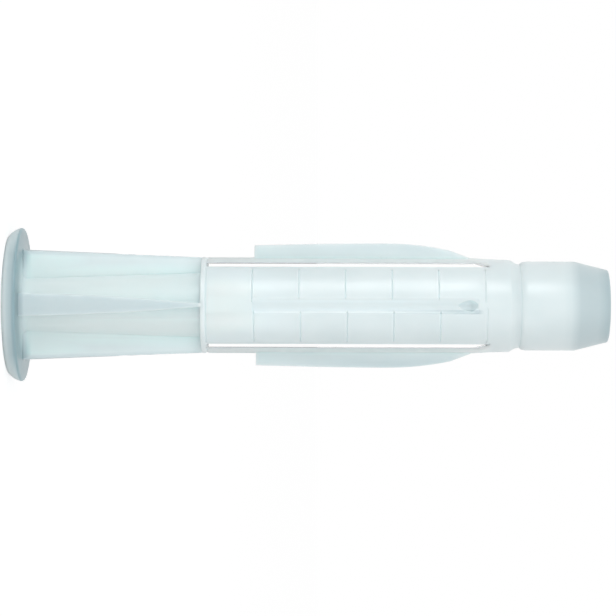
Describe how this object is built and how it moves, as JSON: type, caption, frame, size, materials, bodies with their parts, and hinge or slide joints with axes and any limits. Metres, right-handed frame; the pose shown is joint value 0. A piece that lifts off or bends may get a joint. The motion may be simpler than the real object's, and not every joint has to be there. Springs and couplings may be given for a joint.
{
  "type": "universal wall plug",
  "caption": "One-piece plastic wall plug with a collar, ribbed neck, slotted and notched body, two side wings and a grooved nose, bored through for a screw.",
  "frame": {"origin": "centre of the collar's flat outer face, on which the plug stands", "axes": "+Z along the plug's axis from the collar to the nose, X through the two side wings, Y through the two notched shells"},
  "size_m": [0.0128, 0.0128, 0.05],
  "materials": {
    "natural_nylon": "translucent natural nylon, satin as moulded"
  },
  "bodies": {
    "root": {"plug": "natural_nylon"}
  },
  "joints": []
}
